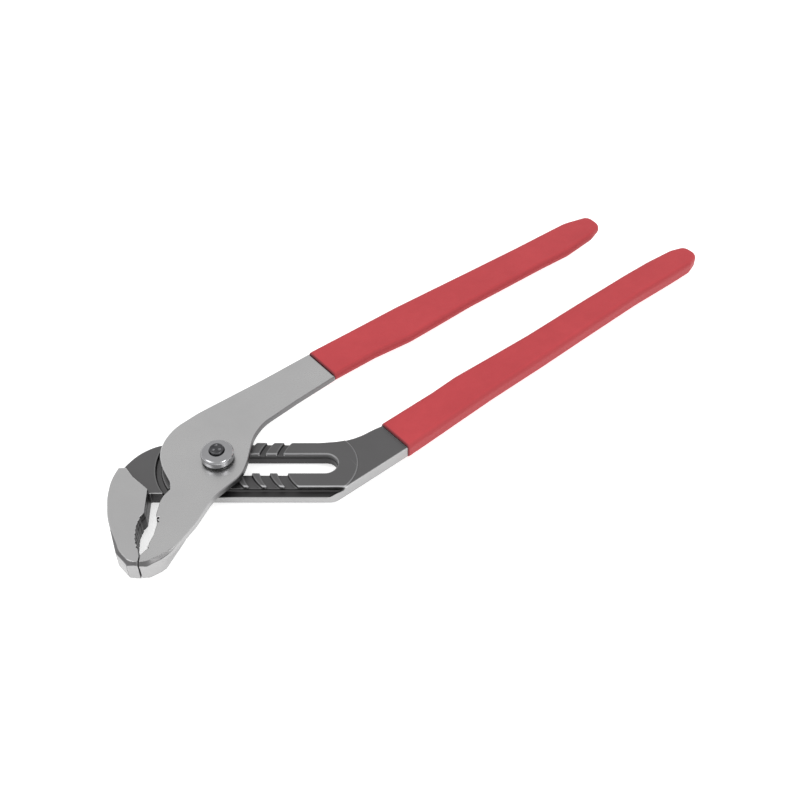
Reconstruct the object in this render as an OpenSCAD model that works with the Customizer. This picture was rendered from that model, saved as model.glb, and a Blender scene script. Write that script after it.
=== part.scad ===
// Tongue and groove pliers, 300 mm, seven positions.
//
// X runs along the slot of the lower lever, Y across it, Z up through the
// joint. The origin is the axis of the pivot bolt in its first position,
// with Z = 0 on the underside of the bolt head. The jaws are closed.

/* [Parts] */

// Which part to draw

/* [Levers] */

// Thickness of the slotted shank
shank_t = 6; // [4:0.1:9]

// Thickness of the upper lever where it lies over the shank
plate_t = 3.1; // [2.5:0.1:6]

// Clearance between the two lapped faces
lap_gap = 0.1; // [0.05:0.05:0.3]

// Distance from the slot centre line to the near edge of the shank
shank_near = 15.2; // [12:0.1:20]

// Distance from the slot centre line to the far edge of the shank
shank_far = 11; // [9:0.1:16]

// Bevel around the top edge of the nose
nose_bevel = 1.2; // [0.5:0.1:2]

/* [Adjustment] */

// Number of steps between the first and the last pivot position
steps = 6; // [3:1:8]

// Distance between neighbouring grooves
pitch = 7.2; // [5:0.1:9]

// Radius of the groove arcs about the pivot
groove_r = 17.8; // [14:0.1:22]

// Width of a groove
groove_w = 3.8; // [2.5:0.1:5]

// Radius of the groove arcs beyond the slot
far_groove_r = 19.5; // [16:0.1:22]

// Width of a groove beyond the slot
far_groove_w = 2.4; // [1.5:0.1:4]

// Depth of a groove
groove_d = 1.5; // [1.2:0.1:3]

// Height of the tongues
tongue_h = 1.1; // [0.6:0.1:2.5]

// Play of a tongue on each side of its groove
tongue_play = 0.2; // [0.1:0.05:0.4]

// Width of the slot
slot_w = 9.7; // [8:0.1:13]

// Width of the relief on each side of the slot
relief_w = 0.2; // [0:0.1:1]

// Depth of the relief along the slot
relief_d = 2.4; // [1:0.1:4]

// Depth of the channel beside the near land
channel_d = 2.7; // [1.8:0.1:4]

// Width of the channel
channel_w = 3.1; // [2:0.1:5]

/* [Pivot] */

// Diameter of the bolt head
head_d = 16; // [14:0.5:20]

// Height of the bolt head
head_h = 2.4; // [1.5:0.1:4]

// Diameter of the bolt where the upper lever turns on it
journal_d = 8.8; // [7:0.1:10]

// Diameter of the threaded end
thread_d = 5.8; // [5:0.1:8]

// Diameter of the domed nut
nut_d = 13.4; // [11:0.1:17]

// Height of the domed nut
nut_h = 4.9; // [4:0.1:6]

// How far the bolt end stands out of the nut
bolt_proud = 1.4; // [0.8:0.1:2]

/* [Jaws] */

// Distance between neighbouring teeth
tooth_pitch = 2; // [1.4:0.1:3]

// Number of teeth on each jaw
teeth = 8; // [4:1:9]

/* [Grips] */

// Thickness of the dipped grip
coat = 1; // [0.6:0.1:2]

/* [Hidden] */

// Heights
z0 = head_h;
zm = z0 + shank_t;
zu = zm + lap_gap;
zt = zu + plate_t;
travel = steps * pitch;
fit = 0.05;
eps = 0.01;

// Colours
bright = [0.68, 0.68, 0.69];
grey = [0.40, 0.40, 0.41];
chrome = [0.80, 0.80, 0.82];
dark = [0.24, 0.24, 0.25];
red = [0.76, 0.24, 0.27];

// One rounded corner of a polygon
function unit(v) = v / norm(v);
function corner(a, b, c, r, n) = r <= 0 ? [b] :
    let (u = unit(a - b), w = unit(c - b), half = acos(max(-1, min(1, u * w))) / 2)
    half > 89 ? [b] :
    let (d = min(r / tan(half), norm(a - b) * 0.48, norm(c - b) * 0.48),
         q = d * tan(half), o = b + unit(u + w) * q / sin(half),
         s = b + u * d, e = b + w * d,
         a0 = atan2(s.y - o.y, s.x - o.x), a1 = atan2(e.y - o.y, e.x - o.x),
         da = (a1 - a0 + 540) % 360 - 180)
    [for (i = [0:n]) o + q * [cos(a0 + da * i / n), sin(a0 + da * i / n)]];

// A polygon from [x, y, corner radius] points
function rounded(p, n = 4) = [for (i = [0:len(p) - 1])
    let (k = len(p), a = p[(i + k - 1) % k], b = p[i], c = p[(i + 1) % k])
    each corner([a.x, a.y], [b.x, b.y], [c.x, c.y], b[2], n)];

// Outer shape of the lower grip, run back into the neck
lower_grip_pts = [
    [62, -4.2, 0], [77.2, 8.8, 30], [92, 22.8, 60], [113, 42.2, 80],
    [136, 62, 80], [160, 83, 80], [185.5, 105, 60], [205.5, 121.2, 20],
    [214.5, 128.6, 5], [219, 135.5, 4.5], [214.6, 140.6, 4.5],
    [207, 137.6, 12], [194, 128.4, 40], [181, 118.2, 40], [155.5, 97, 80],
    [131, 76.3, 80], [108.5, 58.3, 20], [97.6, 49.6, 20], [87, 39.8, 20],
    [66.2, 22.4, 20], [50, 9.2, 0]];

// Outer shape of the upper grip, run back into the neck
upper_grip_pts = [
    [31.8, 35.7, 0], [46.7, 48.3, 30], [62.8, 61.2, 12], [78.4, 71.6, 20],
    [106.3, 95.4, 60], [142.4, 123.4, 60], [155.9, 133.4, 20],
    [168.9, 146.1, 5], [174.1, 154.4, 4.5], [168.7, 162.1, 4.5],
    [155.7, 156.2, 20], [130.6, 136.8, 60], [106.1, 118.3, 60],
    [71.5, 92.6, 60], [34.1, 62.7, 20], [17.3, 48, 0]];

// Shank and jaw of the lower lever
lower_body_pts = [
    [-26, -15.2, 0.6], [48.4, -15.2, 6], [76.8, 8.8, 0], [66, 21.2, 0],
    [62.6, 19.4, 8], [56, 14.8, 14], [49, 12, 14], [40, 11, 0], [-14, 11, 14],
    [-25, 9.6, 12], [-33, 4, 10], [-38, -3, 10], [-41, -11.5, 12],
    [-41, -20, 14], [-39, -29.5, 30], [-35.2, -39.5, 30], [-32.5, -46.5, 4],
    [-28.1, -51.2, 1], [-24.1, -51.5, 0.3], [-24.1, -48.2, 1],
    [-25, -44.8, 1], [-26.8, -40.5, 3], [-27.4, -34, 6], [-26.4, -29.6, 2],
    [-25.4, -27.6, 1], [-25.7, -22, 4]];

// The part of the lower lever that is full jaw thickness
lower_jaw_pts = [
    [-45, -5.2, 0], [-36.4, -4.8, 0.5], [-33, -9.4, 6], [-26, -15.9, 0],
    [-20, -15.9, 0], [-20, -55, 0], [-45, -55, 0]];

// Whole outline of the upper lever, up to the neck
upper_body_pts = [
    [45.3, 47.1, 0], [30.3, 33.2, 20], [16.5, 19.6, 10], [13.2, 11.8, 10],
    [12.1, -1, 12], [10.7, -8.2, 12], [1.5, -18.7, 12], [-0.8, -23.1, 12],
    [-4.7, -32.8, 14], [-9.1, -40.6, 20], [-13, -47, 10], [-20.6, -51.9, 1],
    [-23.7, -52.1, 0.3], [-23.7, -47.8, 1], [-21.7, -45, 1],
    [-21.3, -42.6, 2], [-20, -38, 4], [-19.6, -33, 3], [-20.6, -28.5, 2],
    [-20.1, -22, 4], [-19.2, -19.3, 1], [-17.2, -16.2, 1.2],
    [-17.8, -12.4, 3], [-22, -4.8, 12], [-24.2, 2, 12], [-23.6, 9.8, 10],
    [-19.9, 17.1, 10], [-11.5, 25.3, 20], [14.5, 45.7, 60], [33.2, 61.3, 0]];

// The part of the upper lever that is full jaw thickness
upper_jaw_pts = [
    [-26, -16.4, 0], [-10, -16.4, 2], [-7.6, -26, 12], [-9.6, -34.5, 12],
    [-13, -42.8, 3], [-14.9, -47.6, 1], [-20.1, -53, 0], [-26, -53, 0]];

// Half plane past the line from p to q, where a grip starts
module past(p, q) {
    translate(q) rotate(atan2(q.y - p.y, q.x - p.x) + 90) translate([0, -40]) square([260, 80]);
}

// Bevel cutter along one straight of the nose, from p to q
module bevel(p, q, c) {
    d = q - p;
    translate([p.x, p.y, zt - c])
        rotate([0, 0, atan2(d.y, d.x)])
            rotate([45, 0, 0])
                translate([-4, -8, 0])
                    cube([norm(d) + 8, 16, 6]);
}

// Teeth cut at even steps from p to q, bowed by b
module tooth_cuts(p, q, b, side) {
    d = q - p;
    n = [-d.y, d.x] / norm(d);
    for (i = [0:teeth - 1])
        let (t = i / (teeth - 1), m = p + d * t + n * b * 4 * t * (1 - t))
        translate([m.x + side * 0.35, m.y, z0 - 1])
            rotate([0, 0, 45])
                translate([-0.75, -0.75, 0])
                    cube([1.5, 1.5, zt]);
}

// Ring sector about a pivot position, on the jaw side
module arc_band(x, ri, ro, z, h, a0, a1) {
    translate([x, 0, z])
        rotate([0, 0, a0])
            rotate_extrude(angle = a1 - a0, $fn = 120)
                translate([ri, 0])
                    square([ro - ri, h]);
}

// Slotted lever with the lower jaw
module lower_lever() {
    color(grey)
    difference() {
        union() {
            translate([0, 0, z0])
                linear_extrude(shank_t)
                    polygon(rounded(lower_body_pts));
            translate([0, 0, z0])
                linear_extrude(zt - z0)
                    intersection() {
                        polygon(rounded(lower_body_pts));
                        polygon(rounded(lower_jaw_pts));
                    }
            translate([0, 0, z0])
                linear_extrude(shank_t)
                    offset(delta = -coat)
                        polygon(rounded(lower_grip_pts));
        }
        // slot for the bolt
        translate([0, 0, z0 - 1]) {
            cylinder(d = slot_w, h = shank_t + 2, $fn = 64);
            translate([travel, 0, 0])
                cylinder(d = slot_w, h = shank_t + 2, $fn = 64);
            translate([0, -slot_w / 2, 0])
                cube([travel, slot_w, shank_t + 2]);
        }
        // relief along the top of the slot
        translate([0, 0, zm - relief_d])
            hull() {
                cylinder(d = slot_w + 2 * relief_w, h = relief_d + 1, $fn = 64);
                translate([travel, 0, 0])
                    cylinder(d = slot_w + 2 * relief_w, h = relief_d + 1, $fn = 64);
            }
        // grooves
        for (k = [0:steps])
            arc_band(k * pitch, groove_r - groove_w / 2, groove_r + groove_w / 2,
                     zm - groove_d, groove_d + 1, k < 2 ? 120 : 166, 240);
        for (k = [2:steps])
            arc_band(k * pitch, far_groove_r - far_groove_w / 2,
                     far_groove_r + far_groove_w / 2,
                     zm - groove_d, groove_d + 1, 120, 172);
        arc_band(0, groove_r + pitch - groove_w / 2, groove_r + pitch + 0.5,
                 zm - groove_d, groove_d + 1, 140, 226);
        // channel that the tongues cross when the handles are fully open
        translate([0, 0, zm - channel_d])
            linear_extrude(channel_d + 1)
                polygon(rounded([
                    [-20.5, -shank_near - 1, 0], [-20.5, -shank_near + 0.2, 0],
                    [-17.5, -shank_near + channel_w, 1],
                    [50, -shank_near + channel_w, 1], [44.5, -shank_near - 1, 0]]));
        // handle face, set a little below the slotted pad
        translate([0, 0, zm - 0.4])
            linear_extrude(1)
                difference() {
                    polygon([[48, 18], [48, 10], [50, -11], [56, -16], [76.8, 8.8], [66, 21.2], [62, 26]]);
                    translate([39.2, 0]) circle(r = 17.3, $fn = 96);
                }
        // bevel around the nose
        bevel([-32.5, -46.5], [-28.1, -51.2], nose_bevel);
        bevel([-28.1, -51.2], [-23.5, -51.5], nose_bevel);
        // teeth
        tooth_cuts([-26.2, -29.8], [-25.2, -44], -1.1, 1);
    }
}

// Lever that turns on the bolt, with the upper jaw and the two tongues
module upper_lever() {
    color(bright)
    difference() {
        union() {
            translate([0, 0, zu])
                linear_extrude(plate_t)
                    polygon(rounded(upper_body_pts));
            translate([0, 0, zu])
                linear_extrude(plate_t)
                    offset(delta = -coat)
                        polygon(rounded(upper_grip_pts));
            translate([0, 0, z0])
                linear_extrude(zt - z0)
                    difference() {
                        intersection() {
                            polygon(rounded(upper_body_pts));
                            polygon(rounded(upper_jaw_pts));
                        }
                        circle(r = 19, $fn = 96);
                    }
            // tongues
            arc_band(0, groove_r - groove_w / 2 + tongue_play,
                     groove_r + groove_w / 2 - tongue_play,
                     zu - tongue_h, tongue_h + 1, 170, 222);
            arc_band(0, groove_r + pitch - groove_w / 2 + tongue_play,
                     groove_r + pitch + 0.5 - tongue_play,
                     zu - tongue_h, tongue_h + 1, 170, 200);
        }
        // bore for the bolt
        translate([0, 0, z0])
            cylinder(d = journal_d + 2 * fit, h = zt, $fn = 64);
        // small relief where the teeth start
        translate([-19.9, -30.4, z0 - 1])
            cylinder(r = 0.5, h = zt, $fn = 24);
        // bevel around the nose
        bevel([-23.9, -52.1], [-20.6, -51.9], nose_bevel);
        bevel([-20.6, -51.9], [-13, -47], nose_bevel * 0.75);
        // teeth
        tooth_cuts([-19.6, -32], [-21.7, -44.4], -0.5, -1);
    }
}

// Shoulder bolt: head under the slot, neck in the slot, journal above it
module pivot_bolt() {
    color(dark)
    difference() {
        union() {
            cylinder(d1 = head_d - 1.2, d2 = head_d, h = 0.6, $fn = 72);
            translate([0, 0, 0.6])
                cylinder(d = head_d, h = head_h - 0.6 - fit, $fn = 72);
            cylinder(d = slot_w - 2 * fit, h = zu - fit, $fn = 64);
            cylinder(d = journal_d, h = zt + fit, $fn = 64);
            cylinder(d = thread_d, h = zt + nut_h + bolt_proud - 0.5, $fn = 48);
            translate([0, 0, zt + nut_h + bolt_proud - 0.5])
                cylinder(d1 = thread_d, d2 = thread_d - 1, h = 0.5, $fn = 48);
        }
        // stake marks that lock the nut
        for (a = [100, 225, 330])
            rotate([0, 0, a])
                translate([1.6, 0, zt + nut_h + bolt_proud - 0.6])
                    cylinder(d = 1.3, h = 1, $fn = 24);
    }
}

// Domed nut on the end of the bolt
module pivot_nut() {
    color(chrome)
    translate([0, 0, zt + fit])
        rotate_extrude($fn = 96)
            polygon([[thread_d / 2, 0], [nut_d / 2 - 0.9, 0], [nut_d / 2 - 0.7, 0.8],
                [nut_d / 2 - 0.1, 1.1], [nut_d / 2, 1.4], [nut_d / 2, nut_h - 1.6],
                [nut_d / 2 - 0.15, nut_h - 1.1], [nut_d / 2 - 0.5, nut_h - 0.7],
                [nut_d / 2 - 1.1, nut_h - 0.4], [thread_d / 2 + 0.5, nut_h],
                [thread_d / 2, nut_h - 0.2]]);
}

// One dipped grip around a handle, between its low and high faces
module grip(zb, t, p, q) {
    difference() {
        union() {
            translate([0, 0, zb - coat])
                linear_extrude(t + 2 * coat)
                    intersection() {
                        offset(delta = -0.8) children();
                        past(p, q);
                    }
            translate([0, 0, zb - coat + 0.8])
                linear_extrude(t + 2 * coat - 1.6)
                    intersection() {
                        children();
                        past(p, q);
                    }
        }
        translate([0, 0, zb])
            linear_extrude(t)
                offset(delta = -coat) children();
    }
}

module lower_grip() {
    color(red)
    grip(z0, shank_t, [66, 21.2], [76.8, 8.8])
        polygon(rounded(lower_grip_pts));
}

module upper_grip() {
    color(red)
    grip(zu, plate_t, [33.2, 61.3], [45.3, 47.1])
        polygon(rounded(upper_grip_pts));
}

lower_lever();
upper_lever();
pivot_bolt();
pivot_nut();
lower_grip();
upper_grip();
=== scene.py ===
import math
import time

import bpy
import numpy as np
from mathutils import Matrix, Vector


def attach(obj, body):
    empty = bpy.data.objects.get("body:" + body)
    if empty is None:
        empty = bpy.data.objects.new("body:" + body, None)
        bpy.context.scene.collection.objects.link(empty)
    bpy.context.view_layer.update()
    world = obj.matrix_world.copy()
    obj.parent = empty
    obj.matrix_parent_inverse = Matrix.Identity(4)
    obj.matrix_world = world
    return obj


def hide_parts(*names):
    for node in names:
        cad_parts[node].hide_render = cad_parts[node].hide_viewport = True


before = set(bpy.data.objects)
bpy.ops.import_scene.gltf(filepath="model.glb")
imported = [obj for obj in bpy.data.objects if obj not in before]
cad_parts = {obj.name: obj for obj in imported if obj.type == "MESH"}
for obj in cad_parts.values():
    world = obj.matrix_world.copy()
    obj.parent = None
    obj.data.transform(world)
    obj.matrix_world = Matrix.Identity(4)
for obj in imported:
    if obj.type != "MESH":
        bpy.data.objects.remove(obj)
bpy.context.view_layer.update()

# ---------------------------------------------------------------- sizes, mm
Z0, ZM, ZU, ZT = 2.4, 8.4, 8.5, 11.6
STEPS, PITCH = 6, 7.2
TRAVEL = STEPS * PITCH
GR, GW, GD = 17.8, 3.8, 1.5
SLOT_R, RELIEF = 4.85, 0.2
FAR_R, FAR_W = 19.5, 2.4
NEAR, CHAN_W, CHAN_D = 15.8, 3.7, 2.7
COAT = 1.0
NUT_R, NUT_H, THREAD_R, PROUD = 6.7, 4.9, 2.9, 1.4

LOWER_GRIP = [
    (62, -4.2, 0), (77.4, 8.5, 30), (92.6, 22.1, 60), (113.8, 41.3, 80),
    (136.8, 61, 80), (160.8, 82.1, 80), (186.2, 104.2, 60), (206.2, 120.3, 20),
    (215.3, 127.9, 5), (219.9, 135.2, 4.5), (214.4, 141.6, 4.5),
    (206.5, 138.4, 12), (193.5, 129.1, 40), (180.5, 118.8, 40), (155.2, 97.4, 80),
    (130.8, 76.6, 80), (108.2, 58.6, 20), (97.3, 50, 20), (86.7, 40.1, 20),
    (66.1, 22.5, 20), (50, 9.2, 0)]
UPPER_GRIP = [
    (31.8, 35.7, 0), (46.7, 48.3, 30), (62.8, 61.2, 12), (78.4, 71.6, 20),
    (106.3, 95.4, 60), (142.4, 123.4, 60), (155.9, 133.4, 20), (168.9, 146.1, 5),
    (174.1, 154.4, 4.5), (168.7, 162.1, 4.5), (155.7, 156.2, 20),
    (130.6, 136.8, 60), (106.1, 118.3, 60), (71.5, 92.6, 60), (34.1, 62.7, 20),
    (17.3, 48, 0)]
LOWER_BODY = [
    (-26, -15.8, 0.6), (47.7, -15.8, 6), (76.8, 8.8, 0), (66, 21.2, 0),
    (62.7, 19.3, 8), (56.1, 14.7, 14), (48.9, 12.2, 14), (40, 11.4, 0),
    (-14, 11.4, 14), (-26.5, 9.9, 12), (-33.8, 4.8, 10), (-38.8, -2.6, 10),
    (-41.4, -11.4, 12), (-41.3, -20, 14), (-39.5, -29.6, 30), (-35.8, -39.7, 30),
    (-33.4, -46.3, 4), (-28.2, -51.8, 1), (-24.1, -52.1, 0.3), (-24.1, -48.2, 1),
    (-25, -44.8, 1), (-26.8, -40.5, 3), (-27.4, -34, 6), (-26.4, -29.6, 2),
    (-25.4, -27.6, 1), (-25.7, -22, 4)]
LOWER_JAW = [
    (-45, -5.2, 0), (-36.4, -4.8, 0.5), (-33, -9.4, 6), (-25.2, -16.6, 0),
    (-20, -16.6, 0), (-20, -55, 0), (-45, -55, 0)]
UPPER_BODY = [
    (45.3, 47.1, 0), (30.3, 33.2, 20), (16.5, 19.6, 10), (13.2, 11.8, 10),
    (12.1, -1, 12), (10.7, -8.2, 12), (1.5, -18.7, 12), (-0.8, -23.1, 12),
    (-4.7, -32.8, 14), (-9.1, -40.6, 20), (-13, -47, 10), (-20.6, -51.9, 1),
    (-23.7, -52.1, 0.3), (-23.7, -47.8, 1), (-21.7, -45, 1), (-21.3, -42.6, 2),
    (-20, -38, 4), (-19.6, -33, 3), (-20.6, -28.5, 2), (-20.1, -22, 4),
    (-19.2, -19.3, 1), (-17.2, -16.2, 1.2), (-17.8, -12.4, 3), (-22, -4.8, 12),
    (-24.2, 2, 12), (-23.6, 9.8, 10), (-19.9, 17.1, 10), (-11.5, 25.3, 20),
    (14.5, 45.7, 60), (33.2, 61.3, 0)]
UPPER_JAW = [
    (-26, -16.4, 0), (-10, -16.4, 2), (-7.6, -26, 12), (-9.6, -34.5, 12),
    (-13, -42.8, 3), (-14.9, -47.6, 1), (-20.1, -53, 0), (-26, -53, 0)]


# ---------------------------------------------------------------- 2D shapes
def rounded(pts, n=8, soft=1.0):
    out = []
    k = len(pts)
    for i in range(k):
        a = np.array(pts[i - 1][:2], float)
        b = np.array(pts[i][:2], float)
        c = np.array(pts[(i + 1) % k][:2], float)
        r = pts[i][2] * (soft if 10 <= pts[i][2] <= 20 else 1)
        if r <= 0:
            out.append(b)
            continue
        u = (a - b) / np.linalg.norm(a - b)
        w = (c - b) / np.linalg.norm(c - b)
        half = math.acos(max(-1, min(1, float(u @ w)))) / 2
        if half > math.radians(89):
            out.append(b)
            continue
        d = min(r / math.tan(half), np.linalg.norm(a - b) * 0.48, np.linalg.norm(c - b) * 0.48)
        q = d * math.tan(half)
        m = (u + w) / np.linalg.norm(u + w)
        o = b + m * q / math.sin(half)
        s, e = b + u * d, b + w * d
        a0 = math.atan2(s[1] - o[1], s[0] - o[0])
        a1 = math.atan2(e[1] - o[1], e[0] - o[0])
        da = (a1 - a0 + 3 * math.pi) % (2 * math.pi) - math.pi
        for j in range(n + 1):
            t = a0 + da * j / n
            out.append(o + q * np.array([math.cos(t), math.sin(t)]))
    return np.array(out)


def sd_poly(P, X, Y):
    """Signed distance to a closed outline, negative inside."""
    best = np.full(X.shape, 1e9, np.float32)
    inside = np.zeros(X.shape, bool)
    n = len(P)
    for i in range(n):
        ax, ay = P[i]
        bx, by = P[(i + 1) % n]
        ex, ey = bx - ax, by - ay
        l2 = ex * ex + ey * ey
        if l2 < 1e-12:
            continue
        wx, wy = X - ax, Y - ay
        t = np.clip((wx * ex + wy * ey) / l2, 0, 1)
        dx, dy = wx - t * ex, wy - t * ey
        np.minimum(best, dx * dx + dy * dy, out=best)
        c = (ay <= Y) != (by <= Y)
        if ey != 0:
            xi = ax + (Y - ay) * (ex / ey)
            inside ^= c & (X < xi)
    d = np.sqrt(best)
    return np.where(inside, -d, d).astype(np.float32)


def half(px, py, qx, qy, X, Y):
    """Distance to the line p to q: negative on its left."""
    dx, dy = qx - px, qy - py
    l = math.hypot(dx, dy)
    return ((X - px) * dy - (Y - py) * dx) / l


def smax(a, b, k):
    h = np.maximum(k - np.abs(a - b), 0) / k
    return np.maximum(a, b) + h * h * k * 0.25


def smin(a, b, k):
    return -smax(-a, -b, k)


def slab(d2, Z, za, zb, r):
    """Outline d2 run from za to zb with its two rims rounded by r."""
    wz = np.abs(Z - (za + zb) / 2) - (zb - za) / 2 + r
    wx = d2 + r
    return np.minimum(np.maximum(wx, wz), 0) + np.sqrt(np.maximum(wx, 0) ** 2 + np.maximum(wz, 0) ** 2) - r


def chamfered(d2, Z, za, zb, c):
    """Outline d2 run from za to zb with 45 degree rims."""
    wz = np.abs(Z - (za + zb) / 2) - (zb - za) / 2
    f = np.maximum(d2, wz)
    return np.maximum(f, (d2 + wz + c) * 0.7071)


# ---------------------------------------------------------------- meshing
class Grid:
    def __init__(self, lo, hi, h):
        self.lo, self.h = np.array(lo, float), h
        self.n = [int(math.ceil((b - a) / h)) + 1 for a, b in zip(lo, hi)]
        x = (lo[0] + h * np.arange(self.n[0])).astype(np.float32)
        y = (lo[1] + h * np.arange(self.n[1])).astype(np.float32)
        z = (lo[2] + h * np.arange(self.n[2])).astype(np.float32)
        self.X2, self.Y2 = np.meshgrid(x, y, indexing="ij")
        self.X, self.Y, self.Z = self.X2[:, :, None], self.Y2[:, :, None], z[None, None, :]

    def at2(self, F2, P):
        g = (P[:, :2] - self.lo[:2]) / self.h
        i = np.clip(np.floor(g).astype(int), 0, np.array(self.n[:2]) - 2)
        f = g - i
        a, b = i[:, 0], i[:, 1]
        fx, fy = f[:, 0], f[:, 1]
        return (F2[a, b] * (1 - fx) * (1 - fy) + F2[a + 1, b] * fx * (1 - fy)
                + F2[a, b + 1] * (1 - fx) * fy + F2[a + 1, b + 1] * fx * fy)

    def at3(self, F, P):
        g = (P - self.lo) / self.h
        i = np.clip(np.floor(g).astype(int), 0, np.array(self.n) - 2)
        f = np.clip(g - i, 0, 1)
        a, b, c = i[:, 0], i[:, 1], i[:, 2]
        out = 0
        for da in (0, 1):
            for db in (0, 1):
                for dc in (0, 1):
                    w = ((f[:, 0] if da else 1 - f[:, 0]) * (f[:, 1] if db else 1 - f[:, 1])
                         * (f[:, 2] if dc else 1 - f[:, 2]))
                    out = out + w * F[a + da, b + db, c + dc]
        return out


def surface_nets(G, F):
    s = F < 0
    nx, ny, nz = F.shape
    cnt = np.zeros((nx - 1, ny - 1, nz - 1), np.int8)
    for a in (0, 1):
        for b in (0, 1):
            for c in (0, 1):
                cnt += s[a:nx - 1 + a, b:ny - 1 + b, c:nz - 1 + c]
    I, J, K = np.nonzero((cnt > 0) & (cnt < 8))
    idx = np.full(cnt.shape, -1, np.int32)
    idx[I, J, K] = np.arange(len(I), dtype=np.int32)
    corners = [(a, b, c) for a in (0, 1) for b in (0, 1) for c in (0, 1)]
    V = {q: F[I + q[0], J + q[1], K + q[2]].astype(np.float64) for q in corners}
    acc = np.zeros((len(I), 3))
    num = np.zeros(len(I))
    for q in corners:
        for ax in range(3):
            if q[ax] == 0:
                r = list(q)
                r[ax] = 1
                r = tuple(r)
                va, vb = V[q], V[r]
                m = (va < 0) != (vb < 0)
                t = np.where(m, va / np.where(m, va - vb, 1), 0)
                for d in range(3):
                    acc[:, d] += np.where(m, q[d] + (t if d == ax else 0), 0)
                num += m
    acc /= num[:, None]
    P = G.lo + (np.stack([I, J, K], 1) + acc) * G.h
    quads = []
    # crossings along x, y, z
    m = s[:-1, 1:-1, 1:-1] != s[1:, 1:-1, 1:-1]
    i, j, k = np.nonzero(m)
    j, k = j + 1, k + 1
    q = np.stack([idx[i, j - 1, k - 1], idx[i, j, k - 1], idx[i, j, k], idx[i, j - 1, k]], 1)
    f = s[i, j, k]
    q[~f] = q[~f][:, ::-1]
    quads.append(q)
    m = s[1:-1, :-1, 1:-1] != s[1:-1, 1:, 1:-1]
    i, j, k = np.nonzero(m)
    i, k = i + 1, k + 1
    q = np.stack([idx[i - 1, j, k - 1], idx[i - 1, j, k], idx[i, j, k], idx[i, j, k - 1]], 1)
    f = s[i, j, k]
    q[~f] = q[~f][:, ::-1]
    quads.append(q)
    m = s[1:-1, 1:-1, :-1] != s[1:-1, 1:-1, 1:]
    i, j, k = np.nonzero(m)
    i, j = i + 1, j + 1
    q = np.stack([idx[i - 1, j - 1, k], idx[i, j - 1, k], idx[i, j, k], idx[i - 1, j, k]], 1)
    f = s[i, j, k]
    q[~f] = q[~f][:, ::-1]
    quads.append(q)
    return P, np.concatenate(quads)


def make_mesh(name, P, Q):
    me = bpy.data.meshes.new(name)
    me.vertices.add(len(P))
    me.vertices.foreach_set("co", (P * 0.001).astype(np.float32).ravel())
    me.loops.add(len(Q) * 4)
    me.loops.foreach_set("vertex_index", Q.astype(np.int32).ravel())
    me.polygons.add(len(Q))
    me.polygons.foreach_set("loop_start", np.arange(0, len(Q) * 4, 4, dtype=np.int32))
    me.update(calc_edges=True)
    me.validate()
    return me


def thin(me, name, most, keep):
    """Collapses edges, flat areas first, until at most this many triangles are left."""
    ob = bpy.data.objects.new(name + "_tmp", me)
    bpy.context.scene.collection.objects.link(ob)
    vg = ob.vertex_groups.new(name="keep")
    vg.add(np.nonzero(keep)[0].tolist(), 1.0, "REPLACE")
    tris = 2 * len(me.polygons)
    d = ob.modifiers.new("thin", "DECIMATE")
    d.decimate_type = "COLLAPSE"
    d.ratio = min(1.0, most / tris)
    d.use_collapse_triangulate = True
    d.vertex_group = "keep"
    d.invert_vertex_group = True
    d.vertex_group_factor = 1.0
    dg = bpy.context.evaluated_depsgraph_get()
    out = bpy.data.meshes.new_from_object(ob.evaluated_get(dg))
    n = sum(len(p.vertices) - 2 for p in out.polygons)
    bpy.data.objects.remove(ob)
    if n > most * 1.02:
        # the kept features alone are over the limit, so they are thinned too
        ob = bpy.data.objects.new(name + "_tmp", out)
        bpy.context.scene.collection.objects.link(ob)
        d = ob.modifiers.new("thin", "DECIMATE")
        d.decimate_type = "COLLAPSE"
        d.ratio = most / n
        d.use_collapse_triangulate = True
        dg = bpy.context.evaluated_depsgraph_get()
        out = bpy.data.meshes.new_from_object(ob.evaluated_get(dg))
        bpy.data.objects.remove(ob)
    out.name = name
    return out


def verts(me):
    co = np.zeros(len(me.vertices) * 3, np.float32)
    me.vertices.foreach_get("co", co)
    return co.reshape(-1, 3).astype(np.float64) * 1000


def gradient(G, F, P, e):
    g = np.zeros_like(P)
    for d in range(3):
        o = np.zeros(3)
        o[d] = e
        g[:, d] = G.at3(F, P + o) - G.at3(F, P - o)
    return g / np.maximum(np.linalg.norm(g, axis=1, keepdims=True), 1e-9)


def bend(G, F, P, a):
    """How sharply the surface turns outwards at P."""
    s = -6 * G.at3(F, P)
    for d in range(3):
        o = np.zeros(3)
        o[d] = a
        s = s + G.at3(F, P + o) + G.at3(F, P - o)
    return s / (a * a)


def piece(name, G, F, most=0, attrs=None, e=None):
    """Meshes the field and returns an object with the field's own normals."""
    tick(name + " field")
    P, Q = surface_nets(G, F)
    tick("nets %d" % len(Q))
    me = make_mesh(name, P, Q)
    tick("mesh")
    if most and most < 2 * len(Q):
        V = verts(me)
        near = np.abs(bend(G, F, V, 0.7)) > 0.04
        me = thin(me, name, most, near)
        print("KEEP", int(near.sum()), "of", len(V), "then", int((np.abs(bend(G, F, verts(me), 0.7)) > 0.04).sum()), "of", len(me.vertices))
    tick("thin")
    V = verts(me)
    N = gradient(G, F, V, e or G.h * 0.75)
    me.polygons.foreach_set("use_smooth", np.ones(len(me.polygons), bool))
    me.normals_split_custom_set_from_vertices([tuple(n) for n in N])
    for key, fn in (attrs or {}).items():
        at = me.attributes.new(key, "FLOAT", "POINT")
        at.data.foreach_set("value", np.clip(fn(V, N), 0, 1).astype(np.float32))
    ob = bpy.data.objects.new(name, me)
    bpy.context.scene.collection.objects.link(ob)
    tick("%s %d verts %d faces" % (name, len(me.vertices), len(me.polygons)))
    return ob


T0 = [time.time()]


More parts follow.
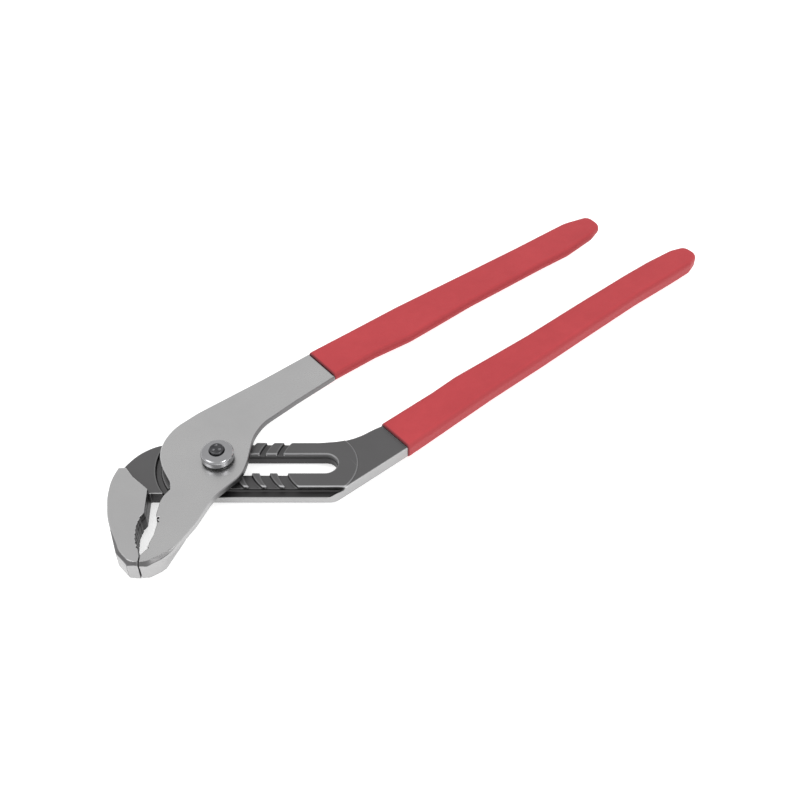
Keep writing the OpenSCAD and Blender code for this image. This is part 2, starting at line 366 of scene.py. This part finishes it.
def tick(label):
    print("TICK %6.2f %s" % (time.time() - T0[0], label), flush=True)


def sstep(a, b, x):
    t = np.clip((x - a) / (b - a), 0, 1)
    return t * t * (3 - 2 * t)


# ---------------------------------------------------------------- levers
H = 0.2


def teeth_field(G, p, q, bow, side, n=8, size=1.5):
    p, q = np.array(p, float), np.array(q, float)
    d = q - p
    nn = np.array([-d[1], d[0]]) / np.linalg.norm(d)
    out = np.full(G.X2.shape, 1e9, np.float32)
    for i in range(n):
        t = i / (n - 1)
        m = p + d * t + nn * bow * 4 * t * (1 - t) + np.array([side * 0.35, 0])
        r = size * 0.7071
        out = np.minimum(out, (np.abs(G.X2 - m[0]) + np.abs(G.Y2 - m[1]) - r) * 0.7071)
    return out


def nose_bevel(G, F, outer2, y0, y1):
    """45 degree bevel round the nose of a jaw, dying out up its side."""
    c = 1.35 * sstep(y0, y1, G.Y2)
    b = (outer2 + c)[:, :, None] + (G.Z - ZT)
    b = np.where((c > 0.02)[:, :, None], b * 0.7071, -1e3)
    return smax(F, b, 0.2)


def arc(G, cx, ri, ro, a0, a1):
    """Ring sector between two angles, in degrees, as a 2D field."""
    dx, dy = G.X2 - cx, G.Y2
    r = np.sqrt(dx * dx + dy * dy)
    d = np.maximum(ri - r, r - ro)
    e0 = dx * math.sin(math.radians(a0)) - dy * math.cos(math.radians(a0))
    e1 = -dx * math.sin(math.radians(a1)) + dy * math.cos(math.radians(a1))
    if a1 - a0 < 180:
        return np.maximum(d, np.maximum(e0, e1))
    return d


def lower_lever():
    G = Grid((-42.4, -53, Z0 - 0.8), (79, 24.6, ZT + 0.8), H)
    X, Y, Z = G.X, G.Y, G.Z
    body2 = sd_poly(rounded(LOWER_BODY, 10, 2.0), G.X2, G.Y2)
    teeth2 = teeth_field(G, (-26.2, -29.8), (-25.2, -44), -1.1, 1)
    jaw2 = np.maximum(body2, sd_poly(rounded(LOWER_JAW), G.X2, G.Y2))
    cut2 = smax(body2, -teeth2, 0.15)
    jcut2 = smax(jaw2, -teeth2, 0.15)
    F = slab(cut2[:, :, None], Z, Z0, ZM, 0.45)
    F = smin(F, slab(jcut2[:, :, None], Z, Z0, ZT, 0.45), 0.5)
    # slot and its relief
    cx = np.clip(G.X2, 0, TRAVEL)
    cap2 = np.sqrt((G.X2 - cx) ** 2 + G.Y2 ** 2)
    F = smax(F, -(cap2 - SLOT_R)[:, :, None] + 0 * Z, 0.25)
    rel = np.maximum((cap2 - SLOT_R - RELIEF)[:, :, None], (ZM - 2.4) - Z)
    F = smax(F, -rel, 0.3)
    # grooves
    for k in range(STEPS + 1):
        g2 = arc(G, k * PITCH, GR - GW / 2, GR + GW / 2, 118 if k < 2 else 166, 242)
        if k >= 2:
            g2 = np.minimum(g2, arc(G, k * PITCH, FAR_R - FAR_W / 2, FAR_R + FAR_W / 2, 118, 172))
        g = smax(g2[:, :, None] + 0 * Z, (ZM - GD) - Z, 0.6)
        F = smax(F, -g, 0.3)
    g2 = arc(G, 0, GR + PITCH - GW / 2, GR + PITCH + 0.5, 140, 226)
    F = smax(F, -smax(g2[:, :, None] + 0 * Z, (ZM - GD) - Z, 0.6), 0.35)
    # channel beside the near land
    ch2 = sd_poly(rounded([(-20.5, -NEAR - 3, 0), (-20.5, -NEAR + 0.2, 0.3), (-17.5, -NEAR + CHAN_W, 1),
                           (52.5, -NEAR + CHAN_W, 1), (57, -NEAR - 3, 0)]), G.X2, G.Y2)
    run2 = half(44.9, -NEAR, 50.6, -NEAR + CHAN_W, G.X2, G.Y2)
    floor_z = ZM - CHAN_D * (1 - sstep(-0.3, 2.2, run2))
    ch = smax(ch2[:, :, None], floor_z[:, :, None] - Z, 0.8)
    F = smax(F, -ch, 0.35)
    # handle face a little below the slotted pad
    hf2 = np.maximum(sd_poly(np.array([(46, 30), (46, 10), (50, -11), (56, -20), (90, 6), (80, 30)], float), G.X2, G.Y2),
                     -(np.sqrt((G.X2 - 39.2) ** 2 + G.Y2 ** 2) - 17.3))
    F = smax(F, -np.maximum(hf2[:, :, None], (ZM - 0.4) - Z), 0.25)
    # bevels of the nose
    nose2 = sd_poly(rounded([(-41.4, -11.4, 12), (-41.3, -20, 14), (-39.5, -29.6, 30), (-35.8, -39.7, 30), (-33.4, -46.3, 9),
                             (-28.2, -52.1, 7), (-20, -52.3, 0), (10, -52.3, 0), (10, 30, 0), (-41.4, 30, 0)]), G.X2, G.Y2)
    F = nose_bevel(G, F, nose2, -31, -46)
    F = F.astype(np.float32)

    # Polished outer walls and jaw top lighter than the machined face: the real two-tone finish. Walls on the far side
    # are drawn dimmer, and the marks below are painted shade.
    def finish_and_painted_shade(V, N):
        b = G.at2(body2, V)
        wall = sstep(-0.5, -0.2, b)
        far = sstep(8.5, 9.5, V[:, 1]) * sstep(-24, -18, V[:, 0]) * sstep(70, 60, V[:, 0])
        t = wall * (1 - 0.6 * far)
        t = np.maximum(t, sstep(8.9, 9.5, V[:, 2]))
        # wedge of side face past the end of the channel
        t = np.maximum(t, sstep(-0.2, 0.5, G.at2(run2, V)) * (V[:, 1] < -NEAR + CHAN_W - 0.1) * (V[:, 0] > 44))
        # painted shade: faces turned away from straight up are drawn darker
        t = t * (0.62 + 0.38 * sstep(0.3, 0.7, N[:, 2]))
        # painted shade: the nose bevel is drawn dark
        bevel_shade = (N[:, 2] > 0.3) & (N[:, 2] < 0.9) & (V[:, 1] < -36) & (V[:, 2] > 9.6) & (G.at2(nose2, V) > -1.6)
        t = np.where(bevel_shade, 0.0, t)
        # painted shade: the walls of the mouth between the jaws are drawn dark
        mouth_shade = (V[:, 0] > -28.6) & (V[:, 1] < -14.4) & (V[:, 0] < -16.5) & (N[:, 2] < 0.55) & (b > -3) & ((N[:, 1] > -0.8) | (V[:, 1] > -16))
        return np.where(mouth_shade, 0.0, t)

    # painted highlight: sharp outward rims drawn lighter, most along the land edge at the channel, the far slot edge,
    # the pad arc and the near side
    def edge(V, N):
        x, y = V[:, 0], V[:, 1]
        w = np.full(len(V), 0.22)
        w = np.maximum(w, 1.0 * sstep(1.0, 0.4, np.abs(y + NEAR - CHAN_W)) * sstep(8, 10, x))
        w = np.maximum(w, 0.75 * sstep(0.8, 0.3, np.abs(G.at2(cap2, V) - SLOT_R - RELIEF)) * (y > 0) * (V[:, 2] > 7))
        w = np.maximum(w, 0.45 * sstep(0.8, 0.3, np.abs(np.hypot(x - 39.2, y) - 17.3)) * (x > 50))
        w = np.maximum(w, 0.6 * (y < -14) * (V[:, 2] > 5) * (x > -10))
        return w * sstep(0.35, 1.2, bend(G, F, V, 0.5)) * (V[:, 2] > 7.2)

    # painted shade: darker in the recess below the mating face, a little less on groove floors, and in the mouth
    # between the jaws
    def low(V, N):
        b = G.at2(body2, V)
        recess_shade = sstep(0.3, 2.2, ZM - V[:, 2]) * (1 - sstep(-0.7, -0.3, b)) * (V[:, 2] > Z0 + 0.1)
        groove = (np.abs(V[:, 2] - (ZM - GD)) < 0.5) & (N[:, 2] > 0.7)
        recess_shade = recess_shade * np.where(groove, 0.55, 1.0) * (1 - sstep(-0.2, 0.5, G.at2(run2, V)) * (V[:, 1] < -NEAR + CHAN_W) * (V[:, 0] > 44))
        mouth_shade = (V[:, 0] > -28.6) & (V[:, 1] < -14.4) & (V[:, 0] < -16.5) & (N[:, 2] < 0.55) & (b > -3) & ((N[:, 1] > -0.8) | (V[:, 1] > -16))
        return np.maximum(recess_shade, mouth_shade * 1.0)

    ob = piece("lower_lever_looks", G, F, 188000, {"finish_and_painted_shade": finish_and_painted_shade, "edge": edge, "low": low})
    return ob


def upper_lever():
    G = Grid((-25.4, -53, Z0 - 0.8), (48, 63.6, ZT + 0.8), H)
    X, Y, Z = G.X, G.Y, G.Z
    body2 = sd_poly(rounded(UPPER_BODY, 10, 2.0), G.X2, G.Y2)
    teeth2 = teeth_field(G, (-19.6, -32), (-21.7, -44.4), -0.5, -1)
    teeth2 = np.minimum(teeth2, np.sqrt((G.X2 + 19.7) ** 2 + (G.Y2 + 30.3) ** 2) - 0.55)
    jaw2 = np.maximum(body2, sd_poly(rounded(UPPER_JAW), G.X2, G.Y2))
    jaw2 = np.maximum(jaw2, 19 - np.sqrt(G.X2 ** 2 + G.Y2 ** 2))
    cut2 = smax(body2, -teeth2, 0.15)
    jcut2 = smax(jaw2, -teeth2, 0.15)
    F = slab(cut2[:, :, None], Z, ZU, ZT, 0.7)
    F = smin(F, slab(jcut2[:, :, None], Z, Z0, ZT, 0.5), 0.5)
    F = np.maximum(F, Z - ZT)
    t = arc(G, 0, GR - GW / 2 + 0.2, GR + GW / 2 - 0.2, 170, 222)
    F = np.minimum(F, slab(t[:, :, None], Z, ZU - 1.1, ZU + 1, 0.2))
    t = arc(G, 0, GR + PITCH - GW / 2 + 0.2, GR + PITCH + 0.3, 170, 200)
    F = np.minimum(F, slab(np.maximum(t, body2 + 0.2)[:, :, None], Z, ZU - 1.1, ZU + 1, 0.2))
    F = smax(F, -(np.sqrt(G.X2 ** 2 + G.Y2 ** 2) - 4.55)[:, :, None] + 0 * Z, 0.2)
    nose2 = sd_poly(rounded([(12.1, -1, 12), (10.7, -8.2, 12), (1.5, -18.7, 12), (-0.8, -23.1, 12), (-4.7, -32.8, 14),
                             (-9.1, -40.6, 20), (-13, -47, 14), (-20.6, -52.1, 9), (-28, -52.3, 0), (-60, -52.3, 0),
                             (-60, 30, 0), (12.1, 30, 0)]), G.X2, G.Y2)
    F = nose_bevel(G, F, nose2, -40, -49)
    F = F.astype(np.float32)

    # painted shade only: undersides, sides turned from straight up, the rim and walls facing right at the neck and
    # head, the nose bevel and the mouth are drawn darker
    def finish_and_painted_shade(V, N):
        mouth_shade = (V[:, 0] < -15) & (V[:, 1] < -15) & (N[:, 2] < 0.5) & (N[:, 0] < -0.4)
        under = sstep(-0.4, -0.8, N[:, 2])
        t = 1 - 0.7 * under
        t = t * (0.62 + 0.38 * sstep(0.3, 0.7, N[:, 2]))
        # painted shade: rim along the neck and the back of the head drawn dark
        rim = sstep(0.93, 0.8, N[:, 2]) * sstep(0.15, 0.35, N[:, 2]) * (V[:, 2] > 10.6)
        right = sstep(0.0, 0.3, N[:, 0] * 0.75 - N[:, 1] * 0.66) * sstep(-24, -16, V[:, 1])
        t = t * (1 - 0.95 * rim * right)
        t = t * (1 - 0.86 * (np.abs(N[:, 2]) < 0.35) * right)
        bevel_shade = (N[:, 2] > 0.3) & (N[:, 2] < 0.9) & (V[:, 1] < -36) & (V[:, 2] > 9.6) & (G.at2(nose2, V) > -1.6)
        t = t * (1 - bevel_shade * sstep(-10, -14, V[:, 0]))
        return np.where(mouth_shade, 0.15, t)

    # painted highlight: sharp outward rims drawn lighter, away from the nose
    def edge(V, N):
        return 0.25 * sstep(0.35, 1.3, bend(G, F, V, 0.5)) * (V[:, 1] > -36)

    # painted shade: mouth, rim and walls facing right at the neck and head drawn near black
    def low(V, N):
        mouth_shade = (V[:, 0] < -15) & (V[:, 1] < -15) & (N[:, 2] < 0.5) & (N[:, 0] < -0.4)
        right = sstep(0.0, 0.3, N[:, 0] * 0.75 - N[:, 1] * 0.66) * sstep(-24, -16, V[:, 1])
        rim = sstep(0.93, 0.8, N[:, 2]) * sstep(0.15, 0.35, N[:, 2]) * (V[:, 2] > 10.6)
        wall = (np.abs(N[:, 2]) < 0.35) * (0.12 + 0.5 * sstep(24, 12, V[:, 1]))
        return np.maximum(mouth_shade * 0.6, np.maximum(wall, 0.35 * rim) * right)

    return piece("upper_lever_looks", G, F, 170000, {"finish_and_painted_shade": finish_and_painted_shade, "edge": edge, "low": low})


def grip(name, pts, p, q, za, zb, seed):
    x = np.array([a[0] for a in pts])
    y = np.array([a[1] for a in pts])
    h = 0.4
    lo = (min(p[0], q[0]) - 2, min(p[1], q[1]) - 2, za - 1.2)
    G = Grid(lo, (x.max() + 2, y.max() + 2, zb + 1.2), h)
    Z = G.Z
    out2 = sd_poly(rounded(pts), G.X2, G.Y2)
    cut2 = half(p[0], p[1], q[0], q[1], G.X2, G.Y2)
    r = min(2.4, (zb - za) / 2 - 0.15)
    F = slab(out2[:, :, None], Z, za, zb, r)
    rng = np.random.default_rng(seed)
    # slow swell of the dipped skin
    w = np.zeros(G.X2.shape, np.float32)
    for _ in range(7):
        a = rng.uniform(0, 2 * math.pi)
        k = rng.uniform(0.08, 0.3)
        w += np.cos(k * (G.X2 * math.cos(a) + G.Y2 * math.sin(a)) + rng.uniform(0, 6.28)).astype(np.float32)
    F = F + (w * 0.012)[:, :, None]
    F = smax(F, cut2[:, :, None] + 0 * Z, 0.9)
    F = F.astype(np.float32)

    # painted shade: narrow dark band at the cut end of the grip, where it meets the lever
    def end_shade(V, N):
        return sstep(-0.9, -0.2, G.at2(cut2, V))

    def shade(V, N):
        far = 0.3 * sstep(-3.5, -0.6, G.at2(out2, V)) * sstep(-0.2, 0.4, N[:, 1] + 0.3 * (N[:, 2] > 0.9) * (-N[:, 0]))
        return np.maximum(far, sstep(0.15, 0.75, -N[:, 1]))

    return piece(name, G, F, 90000, {"start": end_shade, "shade": shade}, e=h * 0.9)


def prism(name, pts, za, zb):
    """Plain run of an outline, for the handle inside a grip."""
    P = np.array(pts)
    n = len(P)
    me = bpy.data.meshes.new(name)
    v = [(x * 0.001, y * 0.001, za * 0.001) for x, y in P] + [(x * 0.001, y * 0.001, zb * 0.001) for x, y in P]
    f = [tuple(range(n))[::-1], tuple(range(n, 2 * n))] + [(i, (i + 1) % n, n + (i + 1) % n, n + i) for i in range(n)]
    me.from_pydata(v, [], f)
    me.update()
    for key in ("finish_and_painted_shade", "edge", "low"):
        me.attributes.new(key, "FLOAT", "POINT")
    ob = bpy.data.objects.new(name, me)
    bpy.context.scene.collection.objects.link(ob)
    return ob


def inset(P, d):
    """Outline moved inwards by d; P runs counter-clockwise."""
    n = len(P)
    out = []
    for i in range(n):
        a, b, c = P[i - 1], P[i], P[(i + 1) % n]
        u = (b - a) / max(np.linalg.norm(b - a), 1e-9)
        w = (c - b) / max(np.linalg.norm(c - b), 1e-9)
        m = np.array([-(u + w)[1], (u + w)[0]])
        m /= max(np.linalg.norm(m), 1e-9)
        out.append(b + m * d / max(0.5, float(m @ np.array([-u[1], u[0]]))))
    return np.array(out)


def clip(P, p, q):
    """The part of an outline that lies on the left of the line p to q."""
    s = half(p[0], p[1], q[0], q[1], P[:, 0], P[:, 1])
    out = []
    for i in range(len(P)):
        j = (i + 1) % len(P)
        if s[i] <= 0:
            out.append(P[i])
        if (s[i] <= 0) != (s[j] <= 0):
            out.append(P[i] + (P[j] - P[i]) * s[i] / (s[i] - s[j]))
    return np.array(out)


def join(a, b):
    bpy.ops.object.select_all(action="DESELECT")
    a.select_set(True)
    b.select_set(True)
    bpy.context.view_layer.objects.active = a
    bpy.ops.object.join()
    return a


# ---------------------------------------------------------------- pivot
def profile_sd(P, R, Z):
    return sd_poly(np.array(P, float), R, Z)


def revolve_grid(G, P):
    """3D field of a turned profile, found on a fine r-z table."""
    r = np.linspace(-0.5, 10, 421)
    z = np.linspace(-1, 18, 761)
    RR, ZZ = np.meshgrid(r.astype(np.float32), z.astype(np.float32), indexing="ij")
    T = profile_sd(P, RR, ZZ)
    R3 = np.sqrt(G.X2 ** 2 + G.Y2 ** 2)[:, :, None] + 0 * G.Z
    Z3 = G.Z + 0 * R3
    gi = np.clip((R3 + 0.5) / 0.025, 0, 419.999)
    gj = np.clip((Z3 + 1) / 0.025, 0, 759.999)
    i, j = gi.astype(int), gj.astype(int)
    fi, fj = gi - i, gj - j
    return ((T[i, j] * (1 - fi) + T[i + 1, j] * fi) * (1 - fj) + (T[i, j + 1] * (1 - fi) + T[i + 1, j + 1] * fi) * fj).astype(np.float32)


def pivot_nut():
    h = 0.12
    G = Grid((-7.3, -7.3, ZT - 0.5), (7.3, 7.3, ZT + NUT_H + 0.6), h)
    z = ZT + 0.05
    R = NUT_R
    prof = [(THREAD_R, z), (R - 0.85, z), (R - 0.75, z + 0.75), (R - 0.2, z + 1.05), (R, z + 1.3)]
    for i in range(0, 13):
        t = i / 12 * math.pi / 2
        prof.append((R - 1.5 * (1 - math.cos(t)), z + NUT_H - 1.95 + 1.55 * math.sin(t)))
    prof += [(THREAD_R + 1.2, z + NUT_H - 0.12), (THREAD_R + 0.4, z + NUT_H - 0.05), (THREAD_R, z + NUT_H - 0.35)]
    F = revolve_grid(G, prof) - 0.04

    # painted shade: dark ring round the foot of the nut
    def base_shade(V, N):
        return sstep(1.3, 0.9, V[:, 2] - z)

    return piece("pivot_nut_looks", G, F, 60000, {"base_shade": base_shade}, e=h)


def pivot_bolt():
    h = 0.15
    top = ZT + NUT_H + PROUD
    G = Grid((-8.6, -8.6, -0.6), (8.6, 8.6, top + 0.6), h)
    prof = [(-0.4, 0), (7.4, 0), (8, 0.6), (8, 2.0), (7.7, 2.33), (4.8, 2.35), (4.8, ZU - 0.05), (4.4, ZU - 0.05),
            (4.4, ZT + 0.05), (THREAD_R, ZT + 0.05), (THREAD_R, top - 0.5)]
    for i in range(1, 7):
        t = i / 6 * math.pi / 2
        prof.append((THREAD_R - 0.9 * (1 - math.cos(t)), top - 0.5 + 0.42 * math.sin(t)))
    prof.append((0, top + 0.0))
    prof.append((-0.4, top + 0.0))
    F = revolve_grid(G, prof)
    for a in (100, 225, 330):
        cx, cy = 1.55 * math.cos(math.radians(a)), 1.55 * math.sin(math.radians(a))
        s = np.sqrt((G.X - cx) ** 2 + (G.Y - cy) ** 2 + (G.Z - top - 0.3) ** 2) - 0.75
        F = smax(F, -s, 0.25)
    F = F.astype(np.float32)

    # stake marks drawn lighter than the bolt end, and a faint painted highlight on sharp rims
    def edge(V, N):
        mark = np.zeros(len(V))
        for a in (100, 225, 330):
            d = np.hypot(V[:, 0] - 1.55 * math.cos(math.radians(a)), V[:, 1] - 1.55 * math.sin(math.radians(a)))
            mark = np.maximum(mark, sstep(0.85, 0.35, d) * (V[:, 2] > top - 1))
        return np.maximum(mark, 0.15 * sstep(0.3, 1.2, bend(G, F, V, 0.4)))

    return piece("pivot_bolt_looks", G, F, 40000, {"edge": edge}, e=h)


# ---------------------------------------------------------------- materials
def new_mat(name):
    m = bpy.data.materials.new(name)
    m.use_nodes = True
    nt = m.node_tree
    nt.nodes.clear()
    out = nt.nodes.new("ShaderNodeOutputMaterial")
    bs = nt.nodes.new("ShaderNodeBsdfPrincipled")
    nt.links.new(bs.outputs[0], out.inputs[0])
    return m, nt, bs


def node(nt, kind, **kw):
    n = nt.nodes.new(kind)
    for k, v in kw.items():
        if k.startswith("i_"):
            n.inputs[k[2:].replace("_", " ")].default_value = v
        else:
            setattr(n, k, v)
    return n


def noise(nt, scale, detail=3, rough=0.5, stretch=None, turn=0.0):
    tc = node(nt, "ShaderNodeTexCoord")
    mp = node(nt, "ShaderNodeMapping")
    mp.inputs["Scale"].default_value = stretch or (1, 1, 1)
    mp.inputs["Rotation"].default_value = (0, 0, turn)
    n = node(nt, "ShaderNodeTexNoise")
    n.inputs["Scale"].default_value = scale
    n.inputs["Detail"].default_value = detail
    n.inputs["Roughness"].default_value = rough
    nt.links.new(tc.outputs["Object"], mp.inputs["Vector"])
    nt.links.new(mp.outputs[0], n.inputs["Vector"])
    return n.outputs["Fac"]


def ramp(nt, src, a, b, va, vb):
    m = node(nt, "ShaderNodeMapRange")
    m.inputs["From Min"].default_value = a
    m.inputs["From Max"].default_value = b
    m.inputs["To Min"].default_value = va
    m.inputs["To Max"].default_value = vb
    nt.links.new(src, m.inputs["Value"])
    return m.outputs[0]


def mixc(nt, fac, a, b, mode="MIX"):
    m = node(nt, "ShaderNodeMix", data_type="RGBA", blend_type=mode)
    for s, v in (("Factor", fac), ("A", a), ("B", b)):
        i = m.inputs[0] if s == "Factor" else m.inputs[6 if s == "A" else 7]
        if isinstance(v, (int, float)):
            i.default_value = v
        elif isinstance(v, tuple):
            i.default_value = (*v, 1) if len(v) == 3 else v
        else:
            nt.links.new(v, i)
    return m.outputs[2]


def math_node(nt, op, a, b=None, clamp=False):
    m = node(nt, "ShaderNodeMath", operation=op)
    m.use_clamp = clamp
    for i, v in enumerate((a, b)):
        if v is None:
            continue
        if isinstance(v, (int, float)):
            m.inputs[i].default_value = v
        else:
            nt.links.new(v, m.inputs[i])
    return m.outputs[0]


def attr(nt, name):
    a = node(nt, "ShaderNodeAttribute", attribute_name=name)
    a.attribute_type = "GEOMETRY"
    return a.outputs["Fac"]


def bump(nt, bs, height, strength, dist):
    b = node(nt, "ShaderNodeBump")
    b.inputs["Strength"].default_value = strength
    b.inputs["Distance"].default_value = dist
    nt.links.new(height, b.inputs["Height"])
    nt.links.new(b.outputs[0], bs.inputs["Normal"])


def steel(name, bright, dark_colour, rough_bright, rough_dull, turn):
    m, nt, bs = new_mat(name)
    L = nt.links
    finish_and_painted_shade, edge, low = attr(nt, "finish_and_painted_shade"), attr(nt, "edge"), attr(nt, "low")
    grain = noise(nt, 900, 3, 0.6, (1, 14, 1), turn)
    cloud = noise(nt, 45, 3, 0.55)
    spots = noise(nt, 2600, 2, 0.6)
    # dark and light colours blended by the real two-tone finish and by painted shade
    c = mixc(nt, finish_and_painted_shade, dark_colour, bright)
    c = mixc(nt, ramp(nt, cloud, 0.3, 0.7, 0.0, 0.12), c, (0.25, 0.25, 0.26))
    c = mixc(nt, ramp(nt, spots, 0.35, 0.75, 0.0, 0.06), c, (0.10, 0.10, 0.105))
    # painted shade: recesses and the mouth blended towards near black
    c = mixc(nt, math_node(nt, "MULTIPLY", low, 0.7), c, (0.028, 0.027, 0.028))
    # painted highlight: sharp rims blended towards light grey
    c = mixc(nt, math_node(nt, "MULTIPLY", edge, 0.75), c, (0.55, 0.55, 0.56))
    L.new(c, bs.inputs["Base Color"])
    bs.inputs["Metallic"].default_value = 1.0
    r = math_node(nt, "ADD", ramp(nt, finish_and_painted_shade, 0, 1, rough_dull, rough_bright), ramp(nt, grain, 0.3, 0.7, -0.05, 0.06))
    r = math_node(nt, "ADD", r, ramp(nt, cloud, 0.3, 0.7, -0.03, 0.04), clamp=True)
    L.new(r, bs.inputs["Roughness"])
    hgt = math_node(nt, "ADD", grain, math_node(nt, "MULTIPLY", spots, 0.5))
    bump(nt, bs, hgt, 0.035, 0.0002)
    return m


def chrome():
    m, nt, bs = new_mat("nut_chrome")
    cloud = noise(nt, 260, 3, 0.6)
    c = mixc(nt, ramp(nt, cloud, 0.3, 0.7, 0, 0.3), (0.37, 0.37, 0.38), (0.25, 0.25, 0.26))
    # painted shade: near-black ring at the foot of the nut
    c = mixc(nt, math_node(nt, "MULTIPLY", attr(nt, "base_shade"), 0.9), c, (0.03, 0.03, 0.03))
    nt.links.new(c, bs.inputs["Base Color"])
    bs.inputs["Metallic"].default_value = 1.0
    nt.links.new(ramp(nt, cloud, 0.3, 0.7, 0.14, 0.24), bs.inputs["Roughness"])
    bump(nt, bs, noise(nt, 700, 3, 0.6), 0.05, 0.0002)
    return m


def dark_steel():
    m, nt, bs = new_mat("bolt_steel")
    cloud = noise(nt, 500, 3, 0.6)
    c = mixc(nt, ramp(nt, cloud, 0.3, 0.7, 0, 1), (0.055, 0.055, 0.06), (0.10, 0.10, 0.105))
    # painted highlight on sharp rims, and lighter stake marks
    c = mixc(nt, math_node(nt, "MULTIPLY", attr(nt, "edge"), 0.55), c, (0.26, 0.26, 0.27))
    nt.links.new(c, bs.inputs["Base Color"])
    bs.inputs["Metallic"].default_value = 1.0
    nt.links.new(ramp(nt, cloud, 0.3, 0.7, 0.3, 0.45), bs.inputs["Roughness"])
    bump(nt, bs, noise(nt, 1400, 4, 0.6), 0.15, 0.0002)
    return m


def vinyl():
    m, nt, bs = new_mat("grip_vinyl")
    fine = noise(nt, 1500, 3, 0.6)
    cloud = noise(nt, 40, 4, 0.55)
    mid = noise(nt, 260, 3, 0.5)
    c = mixc(nt, ramp(nt, cloud, 0.3, 0.7, 0, 1), (0.445, 0.0395, 0.048), (0.495, 0.047, 0.056))
    c = mixc(nt, ramp(nt, mid, 0.35, 0.7, 0, 0.25), c, (0.40, 0.034, 0.042))
    c = mixc(nt, math_node(nt, "MULTIPLY", attr(nt, "shade"), 0.75), c, (0.30, 0.022, 0.028))
    # painted shade: dark band at the grip's cut end
    c = mixc(nt, math_node(nt, "MULTIPLY", attr(nt, "start"), 0.7), c, (0.11, 0.014, 0.02))
    nt.links.new(c, bs.inputs["Base Color"])
    bs.inputs["Metallic"].default_value = 0.0
    bs.inputs["Specular IOR Level"].default_value = 0.4
    nt.links.new(ramp(nt, fine, 0.3, 0.7, 0.52, 0.66), bs.inputs["Roughness"])
    h = math_node(nt, "ADD", fine, math_node(nt, "MULTIPLY", mid, 1.5))
    bump(nt, bs, h, 0.10, 0.0003)
    return m


# ---------------------------------------------------------------- build
# the dark colour is the machined face of the lower lever, and painted shade on both levers
mat_lower = steel("machined_steel", (0.50, 0.498, 0.498), (0.138, 0.136, 0.137), 0.33, 0.42, 0.1)
mat_upper = steel("polished_steel", (0.525, 0.523, 0.523), (0.15, 0.148, 0.149), 0.30, 0.40, 0.7)
mat_nut, mat_bolt, mat_grip = chrome(), dark_steel(), vinyl()

low = lower_lever()
hp = rounded(LOWER_GRIP, 4)
low = join(low, prism("lower_handle", clip(inset(hp, COAT), (66, 21.2), (76.8, 8.8)), Z0 + 0.02, ZM - 0.02))
up = upper_lever()
hq = rounded(UPPER_GRIP, 4)
up = join(up, prism("upper_handle", clip(inset(hq, COAT), (33.2, 61.3), (45.3, 47.1)), ZU + 0.02, ZT - 0.02))
nut, bolt = pivot_nut(), pivot_bolt()
lg = grip("lower_grip_looks", LOWER_GRIP, (66, 21.2), (76.8, 8.8), Z0 - COAT, ZM + COAT, 3)
ug = grip("upper_grip_looks", UPPER_GRIP, (33.2, 61.3), (45.3, 47.1), ZU - COAT, ZT + COAT, 5)

for ob, mat, body, cad, slot in (
        (low, mat_lower, "lower", "lower_lever", "machined_steel"),
        (up, mat_upper, "upper", "upper_lever", "polished_steel"),
        (nut, mat_nut, "carriage", "pivot_nut", "nut_chrome"),
        (bolt, mat_bolt, "carriage", "pivot_bolt", "bolt_steel"),
        (lg, mat_grip, "lower", "lower_grip", "grip_vinyl"),
        (ug, mat_grip, "upper", "upper_grip", "grip_vinyl")):
    ob.data.materials.clear()
    ob.data.materials.append(mat)
    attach(ob, body)
    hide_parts(cad)

# CAD nodes keep a procedural finish too
for cad, mat in (("lower_lever", mat_lower), ("upper_lever", mat_upper), ("pivot_nut", mat_nut),
                 ("pivot_bolt", mat_bolt), ("lower_grip", mat_grip), ("upper_grip", mat_grip)):
    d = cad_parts[cad].data
    d.materials.clear()
    d.materials.append(mat)

# ---------------------------------------------------------------- stage
def floor():
    me = bpy.data.meshes.new("floor")
    s = 3.0
    me.from_pydata([(-s, -s, 0), (s, -s, 0), (s, s, 0), (-s, s, 0)], [], [(0, 1, 2, 3)])
    ob = bpy.data.objects.new("floor", me)
    bpy.context.scene.collection.objects.link(ob)
    m, nt, bs = new_mat("floor_white")
    c = noise(nt, 3, 2)
    nt.links.new(mixc(nt, ramp(nt, c, 0.3, 0.7, 0, 1), (0.90, 0.90, 0.90), (0.92, 0.92, 0.92)), bs.inputs["Base Color"])
    bs.inputs["Roughness"].default_value = 0.9
    bs.inputs["Emission Color"].default_value = (1, 1, 1, 1)
    bs.inputs["Emission Strength"].default_value = 0.6
    me.materials.append(m)
    return ob


floor()

sc = bpy.context.scene
w = bpy.data.worlds.new("studio")
sc.world = w
w.use_nodes = True
w.node_tree.nodes["Background"].inputs[0].default_value = (1, 1, 1, 1)
w.node_tree.nodes["Background"].inputs[1].default_value = 0.85


def area(name, loc, target, size, power, col=(1, 1, 1)):
    l = bpy.data.lights.new(name, "AREA")
    l.shape = "RECTANGLE"
    l.size, l.size_y = size
    l.energy = power
    l.color = col
    ob = bpy.data.objects.new(name, l)
    sc.collection.objects.link(ob)
    ob.location = loc
    ob.rotation_euler = (Vector(target) - Vector(loc)).to_track_quat("-Z", "Y").to_euler()
    return ob


area("key", (-0.75, -0.35, 1.0), (0.07, 0.04, 0), (0.7, 0.7), 4.0)
area("fill", (0.75, -0.65, 0.8), (0.07, 0.04, 0), (0.45, 0.45), 4.0)

cam = bpy.data.cameras.new("photo")
cam.sensor_width = 36
cam.lens = 36 * 1100 / 800
cam.dof.use_dof = False
cam.clip_start = 0.01
co = bpy.data.objects.new("photo", cam)
sc.collection.objects.link(co)
el = math.radians(46)
look = Vector((0.0735172, 0.0415719, 0.0024))
co.location = look + 0.48 * Vector((0, -math.cos(el), math.sin(el)))
co.rotation_euler = (math.radians(90) - el, 0, 0)
sc.camera = co
sc.view_settings.view_transform = "Standard"
sc.view_settings.look = "None"
